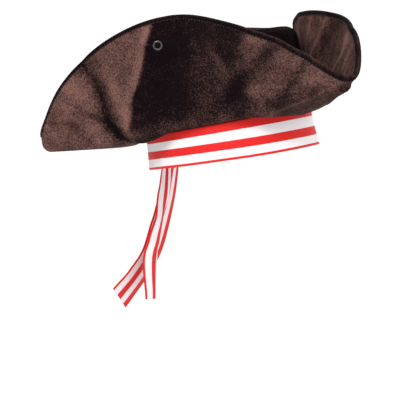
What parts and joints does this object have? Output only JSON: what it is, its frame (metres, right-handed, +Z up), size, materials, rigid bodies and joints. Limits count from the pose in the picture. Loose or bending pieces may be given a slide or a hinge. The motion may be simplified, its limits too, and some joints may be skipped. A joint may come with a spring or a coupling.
{
  "type": "three-cornered pirate hat",
  "caption": "Velvet three-cornered costume hat with turned-up tied brim, oval crown, striped head band and two hanging ribbon tails.",
  "frame": {"origin": "centre of the head opening, level with the seam between crown and brim", "axes": "+Z up through the crown, -Y towards the front corner, -X towards the wearer's right, +Y towards the knot at the back"},
  "size_m": [0.3364, 0.3595, 0.2931],
  "materials": {
    "velvet": "crushed velvet pile with a strong sheen",
    "binding": "velvet tape folded over the edge",
    "foam": "felted foam interlining",
    "lining": "smooth woven lining",
    "sweatband": "matt woven tape",
    "ribbon": "red and white striped polyester, soft sheen",
    "eyelet_metal": "darkened metal, worn bright on the rim",
    "thread": "twisted sewing thread"
  },
  "bodies": {
    "hat": {"crown_side": "velvet", "crown_tip": "velvet", "brim_under": "velvet", "brim_upper": "velvet", "brim_binding": "binding", "brim_foam": "foam", "crown_side_foam": "foam", "crown_tip_foam": "foam", "side_lining": "lining", "tip_lining": "lining", "sweatband": "sweatband", "headband": "ribbon", "knot": "ribbon", "right_eyelet": "eyelet_metal", "right_washer": "eyelet_metal", "left_eyelet": "eyelet_metal", "left_washer": "eyelet_metal", "back_eyelet": "eyelet_metal", "back_washer": "eyelet_metal", "right_tack": "thread", "left_tack": "thread", "back_tack": "thread"},
    "ribbon_right": {"tail_right": "ribbon"},
    "ribbon_left": {"tail_left": "ribbon"}
  },
  "joints": [
    {"name": "ribbon_right_swing", "type": "hinge", "parent": "hat", "child": "ribbon_right", "pos_m": [-0.006, 0.1045, -0.0365], "axis": [1, 0, 0], "range_deg": [0, 30]},
    {"name": "ribbon_left_swing", "type": "hinge", "parent": "ribbon_right", "child": "ribbon_left", "pos_m": [0.006, 0.108, -0.0365], "axis": [1, 0, 0], "range_deg": [0, 30]}
  ]
}
